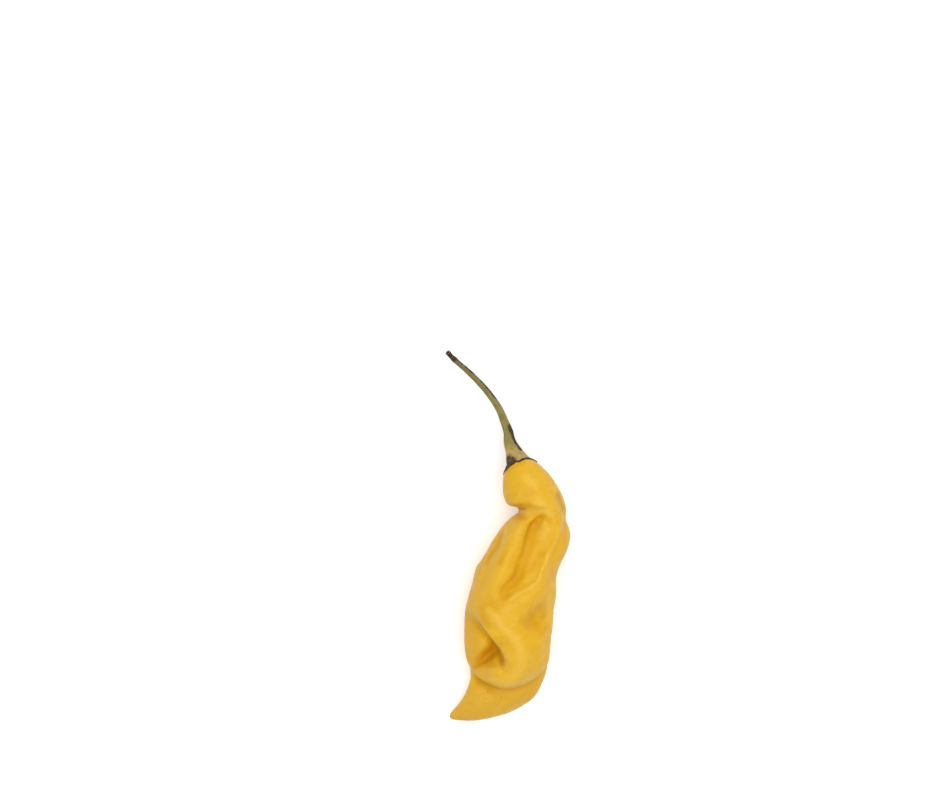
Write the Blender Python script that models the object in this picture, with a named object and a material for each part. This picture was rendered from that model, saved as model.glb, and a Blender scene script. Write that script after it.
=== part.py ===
"""A chilli pepper as picked: a wrinkled lantern-type pod with its calyx and stalk, lying on a table.

Run it with: blender --background --python part.py

The frame is in metres with +Z up. +Y points from the pod's tail to the stalk's cut end, which is the
pepper's length, and +X to the right as seen from above. The origin is at the bottom centre of the
pepper's bounding box, on the surface that it lies on. Sizes below are in millimetres.

The pod is lofted over ribs. A rib is one upright cross-section: the points where it meets the
outline as seen from above, the heights of its crown and its underside, and how far its crown leans
ahead, towards the stalk. Folds are then pressed into the crown along short strokes. The tail is
lofted on its own, because it comes out from under a rounded lip, and is joined to the body.
"""

from collections import namedtuple
import math

import bmesh
import bpy
import numpy as np
from mathutils import Matrix, Vector

MM = 0.001

Rib = namedtuple("Rib", "left right crown under lean")
Stroke = namedtuple("Stroke", "path reach depth")

# The head, neck and body, from the calyx to the rounded lip over the tail.
BODY_RIBS = [
    Rib((0.7, 19.7), (5.6, 21.7), 11.9, 7.1, 1.1),
    Rib((-0.4, 18.6), (7.1, 21.6), 13.5, 6.1, 1.7),
    Rib((-0.9, 17.3), (8.5, 21.0), 14.9, 5.1, 1.8),
    Rib((-1.2, 15.6), (10.8, 18.9), 16.5, 3.4, 1.4),
    Rib((-1.2, 12.2), (14.2, 14.6), 17.8, 1.5, 0.6),
    Rib((-0.2, 9.4), (16.1, 10.4), 17.9, 0.7, 0.0),
    Rib((1.4, 8.6), (16.8, 7.6), 17.2, 0.4, 0.0),
    Rib((3.2, 7.8), (16.7, 5.0), 16.8, 0.3, 0.0),
    Rib((2.2, 6.4), (17.5, 2.6), 17.5, 0.2, 0.0),
    Rib((-0.7, 4.1), (17.8, 0.1), 18.9, 0.0, 0.0),
    Rib((-3.6, 0.1), (17.0, -3.1), 20.2, -0.2, 0.0),
    Rib((-6.9, -5.5), (15.2, -6.9), 21.0, -0.4, 0.0),
    Rib((-9.3, -10.5), (13.7, -11.3), 21.4, -0.5, 0.0),
    Rib((-10.8, -15.9), (13.9, -16.4), 21.7, -0.5, 0.0),
    Rib((-12.0, -21.6), (13.3, -21.4), 21.6, -0.5, 0.0),
    Rib((-12.0, -27.2), (12.5, -26.8), 21.2, -0.5, 0.0),
    Rib((-11.5, -32.6), (12.1, -31.6), 20.3, -0.4, 0.0),
    Rib((-10.4, -37.1), (11.6, -35.2), 18.7, 0.4, 0.0),
    Rib((-7.4, -40.3), (8.9, -38.4), 16.8, 2.2, 0.0),
    Rib((-3.6, -42.0), (4.9, -41.3), 14.2, 5.4, 0.0),
    Rib((-1.0, -42.5), (1.6, -42.4), 11.4, 8.6, 0.0),
]

# The tail, from inside the body to its blunt tip.
TAIL_RIBS = [
    Rib((-4.5, -29.0), (7.0, -29.0), 7.5, 3.0, 0.0),
    Rib((-9.4, -33.0), (10.6, -32.6), 10.6, 0.4, 0.0),
    Rib((-10.3, -37.2), (11.6, -36.6), 11.2, -0.4, 0.0),
    Rib((-10.3, -40.4), (10.4, -41.2), 10.6, -0.5, 0.0),
    Rib((-11.2, -43.4), (8.0, -45.8), 9.4, -0.5, 0.0),
    Rib((-12.3, -45.9), (3.6, -49.0), 8.0, -0.4, 0.0),
    Rib((-13.6, -48.0), (-2.0, -51.6), 6.4, -0.1, 0.0),
    Rib((-15.0, -49.7), (-8.8, -53.0), 4.8, 0.5, 0.0),
    Rib((-16.0, -50.9), (-14.2, -53.0), 3.5, 1.2, 0.0),
    Rib((-16.5, -51.8), (-16.0, -52.7), 2.8, 1.8, 0.0),
]

# Folds in the body. A depth is pressed in, and one below zero is raised.
BODY_STROKES = [
    # The deep furrow down the middle, and the hollow between it and the ridge.
    Stroke([(9.4, 5.6), (7.0, 1.6), (5.0, -2.5), (3.4, -6.6), (1.9, -10.8), (-0.2, -13.9)], 4.2, 3.0),
    Stroke([(10.6, 0.5), (9.6, -3.5), (7.6, -7.5), (5.0, -11.0)], 4.4, 1.9),
    # The long crest to the left of the furrow.
    Stroke([(3.4, 5.2), (0.8, 0.4), (-2.2, -6.4), (-5.0, -13.0)], 4.0, -0.7),
    # The knuckled ridge that runs down the right side and turns across the crown.
    Stroke([(14.2, 4.0), (13.2, -2.0), (11.0, -6.8), (9.4, -11.2), (6.0, -13.9), (1.8, -16.0),
            (-1.6, -18.4)], 3.2, -1.2),
    # The dimple below the ridge.
    Stroke([(10.2, -19.6), (8.2, -21.6)], 5.2, 3.0),
    # The slack left wall, and the pocket tucked under the brow.
    Stroke([(-9.8, -24.0), (-8.2, -27.8), (-6.8, -31.4)], 5.6, 2.6),
    Stroke([(-3.0, -29.9), (-4.8, -32.2), (-7.6, -35.2)], 4.8, 4.0),
    # The brow over the pocket, rolling round into the lip.
    Stroke([(-7.0, -20.6), (-3.4, -24.0), (0.0, -27.0), (2.8, -30.4), (3.8, -33.8), (2.2, -37.2),
            (-1.4, -39.0)], 4.2, -1.2),
    # The pinch at the neck.
    Stroke([(3.0, 8.0), (5.2, 7.7), (7.0, 7.0)], 2.6, 1.2),
    # The creases beside the left and right flanks.
    Stroke([(-1.7, 0.6), (-4.8, -6.6), (-7.8, -12.0)], 2.6, 0.9),
    Stroke([(15.4, 4.2), (14.6, -1.5), (12.8, -6.0), (11.6, -11.0)], 2.6, 1.1),
]

TAIL_STROKES = [
    Stroke([(-7.6, -40.2), (-3.6, -43.0), (1.0, -43.4), (5.4, -41.6)], 3.6, 1.0),
]

# The calyx sits on the head. Each pair is a distance along its axis, towards the stalk, from the
# head's shoulder, and a radius: the outer side from the throat to the rim, then the inner side.
CALYX_CENTRE = (3.4, 20.15, 9.8)
CALYX_AXIS = (-0.337, 0.848, -0.41)
CALYX_PROFILE = [
    (7.0, 1.9), (5.2, 2.15), (3.6, 2.6), (2.4, 3.05), (1.5, 3.65), (0.8, 4.4), (0.05, 5.05),
    (-0.4, 5.2), (-0.25, 4.9), (0.35, 4.5), (1.0, 3.5), (1.5, 2.0), (1.7, 0.4),
]
RIM_ROWS = {5: 0.3, 6: 0.8, 7: 1.0, 8: 0.8, 9: 0.3}  # how far each profile row follows the lobes
CALYX_LOBES = 5
LOBE_LENGTH = 0.3

# The stalk's centreline, from the calyx's throat to its cut end, and its radius at each point.
STALK_POINTS = [
    ((0.88, 26.52, 6.70), 1.80),
    ((0.64, 27.70, 6.38), 1.55),
    ((0.35, 29.60, 6.30), 1.38),
    ((-0.90, 33.00, 6.60), 1.15),
    ((-2.35, 36.40, 7.20), 1.03),
    ((-4.65, 39.75, 8.10), 0.95),
    ((-7.45, 43.10, 9.30), 0.87),
    ((-11.05, 46.65, 11.30), 0.85),
    ((-13.75, 48.90, 13.00), 0.85),
    ((-15.50, 50.60, 14.60), 0.92),
    ((-16.40, 51.60, 15.90), 0.95),
]

# From the middle of the drawing above to the middle of the box around the pepper.
TO_ORIGIN = Vector((-0.25, 0.36, 0))

RING_POINTS = 44
RINGS_PER_RIB = 3
SOFTENING = 3  # passes
CALYX_SIDES = 40
WIDEST_AT = 0.46  # where a rib is widest, as a share of its height
TABLE_BLOCK = (200.0, 20.0)  # width and depth


def clear_scene():
    for thing in list(bpy.data.objects):
        bpy.data.objects.remove(thing)


def finish(name, colour, roughness):
    material = bpy.data.materials.new(name)
    material.use_nodes = True
    shader = material.node_tree.nodes["Principled BSDF"]
    shader.inputs["Base Color"].default_value = (*colour, 1.0)
    shader.inputs["Roughness"].default_value = roughness
    shader.inputs["Metallic"].default_value = 0.0
    return material


def smooth_rows(rows, steps):
    """Rows read from a smooth curve through the given rows, with so many steps from each to the next."""
    rows = np.array(rows, float)
    padded = np.vstack([2 * rows[0] - rows[1], rows, 2 * rows[-1] - rows[-2]])
    t = np.linspace(0, 1, steps, endpoint=False)[:, None]
    spans = [
        0.5 * (2 * b + (c - a) * t + (2 * a - 5 * b + 4 * c - d) * t**2 + (3 * b - a - 3 * c + d) * t**3)
        for a, b, c, d in zip(padded, padded[1:], padded[2:], padded[3:])
    ]
    return np.vstack([*spans, rows[-1:]])


def placed(name, shape, material):
    """An object of the given mesh or curve, with its material, where the pepper lies."""
    made = bpy.data.objects.new(name, shape)
    made.location = TO_ORIGIN * MM
    shape.materials.append(material)
    bpy.context.collection.objects.link(made)
    return made


def mesh_of_rings(name, rings, material):
    """A closed mesh over rings of points in millimetres, with a flat cap at each end."""
    mesh = bpy.data.meshes.new(name)
    shape = bmesh.new()
    loops = [[shape.verts.new(Vector(p) * MM) for p in ring] for ring in rings]
    for near, far in zip(loops, loops[1:]):
        for i in range(len(near)):
            shape.faces.new((near[i - 1], near[i], far[i], far[i - 1]))
    shape.faces.new(loops[0][::-1])
    shape.faces.new(loops[-1])
    bmesh.ops.recalc_face_normals(shape, faces=shape.faces)
    if shape.calc_volume(signed=True) < 0:
        bmesh.ops.reverse_faces(shape, faces=shape.faces)
    shape.to_mesh(mesh)
    shape.free()
    mesh.shade_smooth()
    return placed(name, mesh, material)


def ribbed(name, ribs, material):
    """A closed form over the ribs, each rounded between its outline points, crown and underside."""
    rows = smooth_rows([(*r.left, *r.right, *r[2:]) for r in ribs], RINGS_PER_RIB)
    angles = np.linspace(0, 2 * math.pi, RING_POINTS, endpoint=False)
    across = np.cos(angles)[:, None]
    upright = np.sin(angles)
    rings = []
    for row in rows:
        left, right = row[:2], row[2:4]
        crown, under, lean = row[4:]
        middle = under + WIDEST_AT * (crown - under)
        ahead = np.array([left[1] - right[1], right[0] - left[0]])
        ahead *= lean / np.linalg.norm(ahead)
        plan = (left + right) / 2 + across * (right - left) / 2 + upright[:, None] * ahead
        height = middle + upright * np.where(upright > 0, crown - middle, middle - under)
        rings.append(np.column_stack([plan, height]))
    return mesh_of_rings(name, rings, material)


def distance_in_plan(points, path):
    """How far each point is from a path, both seen from above."""
    places = points[:, :2]
    knots = np.array(path, float)
    nearest = np.full(len(points), np.inf)
    for start, run in zip(knots, np.diff(knots, axis=0)):
        share = np.clip((places - start) @ run / (run @ run), 0, 1)
        gap = places - start - share[:, None] * run
        nearest = np.minimum(nearest, np.linalg.norm(gap, axis=1))
    return nearest


def press(form, strokes):
    """Presses the strokes into the upper side of the form, each fading out at its reach."""
    points = np.array([vertex.co for vertex in form.data.vertices]) / MM
    normals = np.array([vertex.normal for vertex in form.data.vertices])
    facing_up = np.clip(2 * normals[:, 2] + 0.3, 0, 1)
    inward = -(normals + [0, 0, 1])
    inward /= np.maximum(np.linalg.norm(inward, axis=1, keepdims=True), 0.001)
    for stroke in strokes:
        share = np.clip(distance_in_plan(points, stroke.path) / stroke.reach, 0, 1)
        fade = facing_up * (1 - share**2) ** 2
        moved = stroke.depth * fade[:, None] * inward
        for vertex, step in zip(form.data.vertices, moved):
            vertex.co += Vector(step) * MM
    form.data.update()


def boolean(form, tool, operation):
    """Joins the tool to the form, or cuts it away, and leaves the tool itself out of the model."""
    step = form.modifiers.new(tool.name, "BOOLEAN")
    step.operation = operation
    step.solver = "EXACT"
    step.object = tool
    tool.hide_render = True
    tool.display_type = "WIRE"


def table_block():
    """A block whose top is the table, so that the pod's underside rests flat on it."""
    wide, deep = TABLE_BLOCK
    bpy.ops.mesh.primitive_cube_add(size=1.0)
    block = bpy.context.object
    block.name = "table_block"
    block.data.transform(Matrix.Diagonal((wide * MM, wide * MM, deep * MM, 1)))
    block.location.z = -deep * MM / 2
    return block


def soften(form):
    """Evens out the surface between strokes that run close together."""
    even = form.modifiers.new("soften", "SMOOTH")
    even.factor = 0.5
    even.iterations = SOFTENING


def make_pod(skin):
    pod = ribbed("pod", BODY_RIBS, skin)
    press(pod, BODY_STROKES)
    soften(pod)
    tail = ribbed("tail_form", TAIL_RIBS, skin)
    press(tail, TAIL_STROKES)
    boolean(pod, tail, "UNION")
    boolean(pod, table_block(), "DIFFERENCE")


def make_calyx(leaf):
    """The cap between pod and stalk: a cone that flares from the stalk to a lobed rim."""
    axis = Vector(CALYX_AXIS).normalized()
    turn = axis.to_track_quat("Z", "X").to_matrix()
    rings = []
    for row, (along, radius) in enumerate(CALYX_PROFILE):
        lobe = RIM_ROWS.get(row, 0.0) * LOBE_LENGTH
        ring = []
        for side in range(CALYX_SIDES):
            angle = 2 * math.pi * side / CALYX_SIDES
            reach = lobe * max(0.0, math.cos(CALYX_LOBES * angle)) ** 2
            local = Vector((radius * math.cos(angle), radius * math.sin(angle), along - reach))
            ring.append(Vector(CALYX_CENTRE) + turn @ local)
        rings.append(ring)
    mesh_of_rings("calyx", rings, leaf)


def make_stalk(bark):
    """The stalk, a tapering tube from just above the calyx's throat to the cut end."""
    line = bpy.data.curves.new("stalk", "CURVE")
    line.dimensions = "3D"
    line.resolution_u = 4
    line.bevel_depth = MM
    line.bevel_resolution = 4
    line.use_fill_caps = True
    spline = line.splines.new("BEZIER")
    spline.bezier_points.add(len(STALK_POINTS) - 1)
    for knot, (place, radius) in zip(spline.bezier_points, STALK_POINTS):
        knot.co = Vector(place) * MM
        knot.radius = radius
        knot.handle_left_type = knot.handle_right_type = "AUTO"
    placed("stalk", line, bark)


def main():
    clear_scene()
    make_pod(finish("pod_skin", (0.83, 0.47, 0.035), 0.42))
    make_calyx(finish("calyx_skin", (0.21, 0.17, 0.06), 0.7))
    make_stalk(finish("stalk_skin", (0.19, 0.20, 0.055), 0.65))


main()
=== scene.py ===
"""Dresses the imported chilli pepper: its wrinkled pod, its calyx and its stalk, on a pale floor.

The frame is the part's own, in metres with +Z up: +Y runs from the pod's tail to the stalk's cut end,
and +X is to the right as seen from above. The sizes and places below are in millimetres on the
part's drawing, and "in plan" means as seen from above. The file is laid out as an add-on: each piece
has its own operator, and the sizes and colours that a user would change are properties.
"""

import math
from collections import namedtuple

import bmesh
import bpy
import numpy as np
from bpy.props import FloatProperty, FloatVectorProperty, PointerProperty
from bpy.types import Operator, Panel, PropertyGroup
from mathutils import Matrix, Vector, noise
from mathutils.bvhtree import BVHTree


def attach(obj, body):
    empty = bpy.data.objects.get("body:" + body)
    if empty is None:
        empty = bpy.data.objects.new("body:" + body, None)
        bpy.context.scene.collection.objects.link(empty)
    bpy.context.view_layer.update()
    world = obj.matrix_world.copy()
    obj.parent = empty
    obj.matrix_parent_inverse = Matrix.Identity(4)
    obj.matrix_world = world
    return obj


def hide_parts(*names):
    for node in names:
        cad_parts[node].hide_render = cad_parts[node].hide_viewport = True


bl_info = {
    "name": "Chilli Pepper",
    "version": (1, 0, 0),
    "blender": (4, 5, 0),
    "location": "3D View > Sidebar > Chilli",
    "description": "Builds a wrinkled yellow chilli pepper with its calyx and stalk",
    "category": "Object",
}

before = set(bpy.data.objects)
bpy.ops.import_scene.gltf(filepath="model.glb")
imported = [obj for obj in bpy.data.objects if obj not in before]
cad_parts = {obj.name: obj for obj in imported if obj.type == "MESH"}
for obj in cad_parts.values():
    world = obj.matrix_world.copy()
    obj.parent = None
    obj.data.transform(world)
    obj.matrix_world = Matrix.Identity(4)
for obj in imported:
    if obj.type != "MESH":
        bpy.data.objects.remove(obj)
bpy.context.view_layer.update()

MM = 0.001
ORIGIN = np.array((-0.25, 0.36, 0.0))  # the drawing's own origin, in the frame

# --- The pod's folds ---

# A stroke moves the pod's skin along a path in plan. Each point of the path is a place and the depth
# that is pressed in there, or raised where it is below zero. The fold fades out at its reach, given
# to the left and to the right of the path: softly at sharpness 2, and from a crease at 1. A push
# moves the skin in one direction instead, by that vector for each millimetre of depth. A stroke works
# on the top, on the underside or all round, and only below a height.
Stroke = namedtuple("Stroke", "path reach sharpness push side high")
TOP, UNDER, ROUND = 1, -1, 0
LIFT = (0, 0, 1)


def stroke(path, reach, sharpness=2.0, push=None, side=TOP, high=40.0):
    reach = reach if isinstance(reach, tuple) else (reach, reach)
    return Stroke(np.array(path, float), reach, sharpness, push, side, high)


FOLDS = {
    "neck": [
        stroke([(4.6, 8.8, 0), (6.8, 8.6, 0.7), (9.4, 8.4, 1.1), (12.0, 8.0, 1.2), (14.6, 7.2, 0)], 3.6,
               2.0, LIFT),
        stroke([(12.0, 9.0, 0), (13.2, 6.2, 1.1), (13.9, 3.4, 0.9), (13.4, 0.6, 0)], 2.8, 2.0, LIFT),
        stroke([(4.4, 7.9, 0), (5.8, 7.2, 1.6), (8.2, 6.4, 2.4), (10.2, 6.0, 2.2), (12.0, 5.6, 1.2),
                (13.2, 5.2, 0)], 2.8, 2.0, LIFT),
        stroke([(5.4, 8.4, 0), (4.4, 6.0, 0.8), (2.6, 2.8, 0.4), (1.0, 0.0, 0)], 2.6, 2.0, LIFT),
        stroke([(1.6, 8.0, 0.7), (4.2, 7.9, 0.8), (6.0, 7.8, 0)], 2.2, 2.0, (1, 0, 0), ROUND),
    ],
    "furrow": [
        stroke([(11.0, 5.6, 0), (9.4, 6.2, 0.9), (7.6, 4.8, 1.1), (6.3, 2.6, 0.85), (5.5, 0.4, 0.7),
                (5.0, -1.9, 0.6), (4.1, -4.4, 0.6), (3.2, -6.8, 0.65), (2.4, -9.2, 0.6),
                (1.2, -10.9, 0.4), (-0.4, -12.4, 0.15), (-1.6, -13.8, 0)], (2.1, 1.7), 1.6),
        stroke([(6.8, -7.4, 0), (5.2, -9.6, 0.7), (3.0, -11.6, 0.85), (0.8, -13.6, 0.7),
                (-0.8, -15.6, 0)], 2.1, 2.0, LIFT),
        stroke([(9.8, 5.3, 0), (11.4, 5.0, 0.6), (13.0, 4.4, 0)], 1.8),
        stroke([(10.8, 5.0, 0), (10.1, 3.4, 1.3), (9.5, 1.6, 1.2), (8.6, -1.0, 0.2), (8.0, -2.4, 0)], 2.6,
               2.0, LIFT),
        stroke([(13.1, 6.2, 0), (12.8, 3.8, 0.3), (12.0, 1.2, 0.15), (10.0, -1.4, 0.2),
                (8.4, -3.4, 0.3), (6.6, -5.5, 0.2), (5.0, -8.5, 0)], 1.8),
    ],
    "ridge": [
        stroke([(15.0, 5.4, 0), (14.3, 2.2, -0.3), (12.6, -1.2, -0.4), (11.0, -3.4, -0.5),
                (10.3, -5.6, -0.6), (9.4, -7.6, -0.6), (8.7, -9.5, -0.6), (7.8, -11.0, -0.6),
                (5.4, -12.5, -0.5), (2.9, -13.8, -0.5), (0.6, -15.4, -0.3), (-1.5, -17.5, 0)], 1.5, 1.4),
        stroke([(16.2, 5.8, 0.4), (15.6, 3.0, 0.6), (14.8, 0.4, 0.5), (13.8, -2.0, 0.7),
                (12.8, -4.0, 0.7), (11.8, -6.4, 0.5), (11.2, -8.8, 0.3), (10.8, -11.0, 0)], 1.5, 1.2),
    ],
    "left crest": [
        stroke([(-0.8, 2.6, 0), (-1.5, 1.1, 0.5), (-2.5, -1.3, 0.7), (-3.7, -3.2, 0.7),
                (-5.0, -5.0, 0.7), (-5.9, -6.8, 0.5), (-6.6, -8.6, 0)], (0.8, 1.4), 1.2),
        stroke([(-5.2, -6.4, 0), (-5.9, -8.0, -0.4), (-7.4, -9.8, -0.5), (-8.6, -12.3, -0.4),
                (-9.6, -15.6, 0)], 1.1, 1.5),
        stroke([(-7.0, -6.0, 0), (-8.2, -9.0, 0.5), (-9.6, -12.4, 0.5), (-10.6, -16.4, 0)], 1.6),
        stroke([(-7.4, -6.2, 0), (-9.0, -9.0, 0.5), (-10.4, -12.4, 0)], 2.4, 1.5, (-0.85, 0.5, 0), ROUND),
        stroke([(-12.6, -16.0, 0), (-13.2, -22.0, 0.35), (-13.0, -28.0, 0.45), (-12.0, -34.0, 0.45),
                (-10.6, -38.4, 0)], 3.2, 2.0, (-1, 0, 0), ROUND),
    ],
    "dimple": [
        stroke([(5.6, -18.0, 0), (7.4, -17.0, -0.35), (9.2, -16.8, -0.35), (11.0, -17.6, 0)], 1.7),
        stroke([(5.8, -20.6, 0), (7.6, -20.2, 0.7), (9.4, -20.4, 0.8), (10.8, -21.4, 0)], 3.0, 2.0, LIFT),
    ],
    "brow": [
        stroke([(-8.6, -20.6, 0), (-6.6, -22.6, -0.4), (-4.6, -25.0, -0.6), (-2.2, -27.7, -0.7),
                (-0.4, -30.2, -0.6), (0.5, -32.6, -0.4), (0.6, -35.0, 0)], (1.9, 1.4), 1.7),
        stroke([(-10.4, -20.6, 0), (-9.0, -22.6, 0.8), (-7.6, -24.4, 1.3), (-5.8, -26.6, 1.6),
                (-4.0, -28.6, 1.7), (-2.9, -30.4, 1.3), (-2.0, -32.4, 0.9), (-1.6, -34.6, 0)],
               (1.7, 2.6), 1.5),
        stroke([(-6.6, -23.0, 0), (-4.4, -25.6, 0.4), (-2.4, -28.2, 0.7), (-1.2, -30.4, 0.6),
                (-0.4, -33.0, 0)], 1.5, 2.0, (-0.8, -0.4, 0)),
    ],
    "pocket": [
        stroke([(-2.3, -29.4, 0.4), (-3.1, -30.3, 1.3), (-4.9, -32.2, 1.8), (-6.7, -33.9, 1.5),
                (-8.5, -35.6, 1.2), (-9.8, -37.0, 0.8), (-10.8, -38.2, 0.2)], (1.5, 2.8), 1.25),
        stroke([(-7.6, -37.2, 0), (-5.6, -36.0, -0.8), (-3.8, -35.8, -0.7), (-2.2, -36.8, 0)], 2.0),
        stroke([(-2.8, -30.6, 0), (-2.1, -32.0, 0.5), (-1.8, -33.4, 0.5), (-1.6, -34.8, 0.2),
                (-1.2, -36.0, 0)], 1.3, 1.5),
    ],
    "highlight": [
        stroke([(-6.4, -17.6, 0), (-5.2, -19.0, 0.3), (-3.4, -20.8, 0.4), (-1.4, -23.2, 0.4),
                (0.4, -25.0, 0)], 1.6, 1.8, LIFT),
    ],
    "lip": [
        stroke([(-9.2, -38.0, 0), (-5.6, -40.8, 0.6), (-1.6, -42.1, 0.8), (2.4, -41.7, 0.7),
                (6.0, -40.0, 0.4), (9.0, -37.0, 0)], 3.2, 2.0, (0, 1, 0)),
        stroke([(-9.4, -38.2, 0), (-8.2, -40.2, 0.4), (-5.4, -42.2, 0.3), (-2.6, -43.6, -0.35),
                (0.2, -44.0, -0.4), (3.2, -43.4, -0.4), (6.4, -41.8, -0.35), (9.4, -38.6, 0)],
               2.4, high=11.0),
        stroke([(10.6, -22.6, 0), (11.1, -27.0, 0.35), (10.7, -31.0, 0.35), (9.6, -34.8, 0)], 1.2, 1.5),
    ],
    "head": [
        stroke([(5.4, 13.8, 0), (6.6, 13.8, 0.22), (8.0, 13.9, 0)], 0.9),
        stroke([(4.8, 15.6, 0), (7.0, 15.2, -0.18), (9.6, 14.6, 0)], 1.1),
        stroke([(8.8, 10.5, 0), (10.2, 10.0, 0.14), (11.8, 9.8, 0)], 0.7, 1.4),
        stroke([(12.2, 15.6, 0), (13.6, 12.8, 0.4), (14.7, 10.2, 0.5), (15.6, 7.8, 0)], 1.4, 1.4),
    ],
    "underside": [
        stroke([(6.5, 14.0, 0), (5.5, 8.0, 0.8), (3.5, 0.0, 0.9), (-2.0, -12.0, 1.0),
                (-4.5, -24.0, 0.8), (-3.5, -34.0, 0)], 2.6, 1.4, side=UNDER),
        stroke([(12.5, 9.0, 0), (12.0, 0.0, 0.7), (8.5, -12.0, 0.9), (6.5, -24.0, 0.7),
                (7.5, -36.0, 0)], 2.6, 1.4, side=UNDER),
    ],
}

# Where the skin is evened out once a set of folds is in: how many passes, then each path and reach.
EVENED = {
    "neck": (160, [([(5.0, 7.8), (7.0, 7.0), (10.0, 6.8), (13.0, 6.4)], 3.6)]),
    "furrow": (24, [([(8.4, 5.2), (6.3, 2.6), (5.0, -1.9), (3.2, -6.8), (1.2, -10.9)], 1.3)]),
}

# Where the skin's colour changes, by the kind of change: browned, painted shade in dimples, troughs
# and pockets, painted highlights on raised places, painted shade low on the flanks and the tail, and
# painted shade along a crease. Each is a path in plan and its reach.
MARKS = {
    "scar": [
        ([(3.4, 8.3), (4.6, 8.5)], 0.7),
        ([(13.9, 12.2), (15.0, 9.9), (15.6, 8.2)], 1.5),
    ],
    # Painted shade: a deeper orange in dimples, troughs, pockets, beside highlights and under the calyx's
    # rim.
    "painted_shade": [
        ([(6.8, -20.0), (8.6, -19.0), (10.0, -20.6)], 2.6),
        ([(7.6, -23.6), (9.8, -24.6)], 2.8),
        ([(4.0, -21.0), (6.0, -22.6)], 2.4),
        ([(-0.6, -2.8), (-2.0, -5.8)], 1.2),
        ([(-1.0, 18.2), (1.2, 20.0), (4.4, 21.3)], 1.0),
        ([(-1.6, -13.8), (-3.6, -15.8), (-5.6, -18.4)], 3.4),
        ([(-7.8, -18.6), (-6.8, -20.6), (-5.4, -22.6)], 1.7),
        ([(9.2, -3.4), (7.2, -6.4), (6.4, -7.8)], 1.7),
        ([(6.6, -1.0), (5.9, -4.2), (4.9, -6.6)], 1.2),
        ([(-2.2, -31.2), (-1.5, -33.6)], 1.4),
        ([(-7.6, -41.2), (-4.8, -42.6)], 1.6),
        ([(4.8, 13.0), (7.0, 13.5)], 1.6),
    ],
    # Painted highlights on crests and raised places, and lightening over the neck's notch.
    "pale": [
        ([(-5.2, -18.8), (-3.4, -20.6), (-1.6, -23.2), (0.2, -24.6)], 1.7),
        ([(11.0, -3.4), (10.3, -5.6), (9.4, -7.6), (8.7, -9.5), (7.8, -11.0), (5.4, -12.5), (2.9, -13.8),
          (0.6, -15.4)], 0.75),
        ([(2.4, -26.6), (3.8, -30.4), (3.4, -34.4), (0.6, -38.0), (-4.0, -38.6)], 2.6),
        ([(9.8, 3.4), (9.1, 1.6)], 2.3),
        ([(5.4, 16.9), (7.4, 15.4)], 2.2),
        ([(8.4, 10.8), (10.6, 8.6), (11.8, 7.6)], 2.0),
        ([(4.6, 7.4), (7.2, 8.4), (9.8, 8.2)], 1.6),
        ([(9.4, -36.0), (6.4, -39.4)], 1.4),
        ([(11.6, -15.8), (11.8, -21.5)], 1.5),
    ],
    # Painted shade: duller and browner on the sides and the tail.
    "dull_tone_and_shade": [
        ([(-11.8, -20.6), (-11.0, -26.0), (-10.2, -31.0), (-9.8, -35.0)], 3.6),
        ([(-3.6, -0.6), (-6.8, -6.2), (-9.4, -11.6), (-11.6, -18.0)], 1.6),
        ([(11.4, -36.0), (9.0, -41.0), (4.6, -45.0)], 4.8),
        ([(16.6, 3.4), (15.6, -3.0), (13.0, -9.0)], 1.2),
        ([(-15.6, -51.6), (-11.0, -49.6)], 4.0),
    ],
    # Painted shade: dark along the sharpest creases.
    "crease_shade": [
        ([(7.6, 5.6), (6.1, 3.8), (5.2, 1.4), (4.5, -1.4), (3.8, -4.0)], 0.9),
        ([(2.8, -6.8), (2.0, -9.0), (1.0, -10.7)], 0.8),
        ([(-2.9, -30.2), (-4.9, -32.3), (-6.7, -33.9), (-8.5, -35.6), (-9.4, -36.6)], 0.9),
        ([(-1.7, 1.0), (-2.7, -1.3), (-3.9, -3.2), (-5.1, -5.0), (-6.0, -6.8)], 0.6),
        ([(-2.5, -31.0), (-2.0, -32.4), (-1.8, -33.8)], 0.8),
        ([(3.3, 8.2), (4.6, 8.4)], 0.5),
    ],
}
# Small dark specks: each a place in plan, the height that it is on, and its radius.
SPECKS = [
    ((-5.4, -43.4, 9.0), 0.26),
    ((-6.7, -44.0, 8.5), 0.16),
    ((-1.5, -34.7, 16.0), 0.22),
    ((-1.6, -45.0, 9.0), 0.16),
    ((-6.3, -46.9, 8.0), 0.18),
    ((1.6, -21.4, 20.5), 0.15),
]
SPECK_AXES = (1, 1, 0.03)  # how much each direction counts in how far a place is from a speck
SPECK_CORE = 0.35  # the share of a speck's radius that is full dark

VOXEL = 0.35  # how far apart the remeshed skin's vertices are
STROKE_STEPS = 6
STROKE_FACING = (-0.25, 0.35)  # how far the skin faces a stroke's side where the stroke works
MARK_CORE = 0.1  # the share of a mark's reach that is at full strength
EVENING = 5  # passes that take the steps out of the remeshed skin
SETTLING = 2  # passes after the folds are in
UPPER_HALF = (-0.6, 0.2)  # how far up the skin faces where it is evened out
# The skin swells and sinks a little in patches: their size, their height and a shift.
SWELLS = [(5.0, 0.16, 0.0), (1.7, 0.05, 7.0)]

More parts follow.
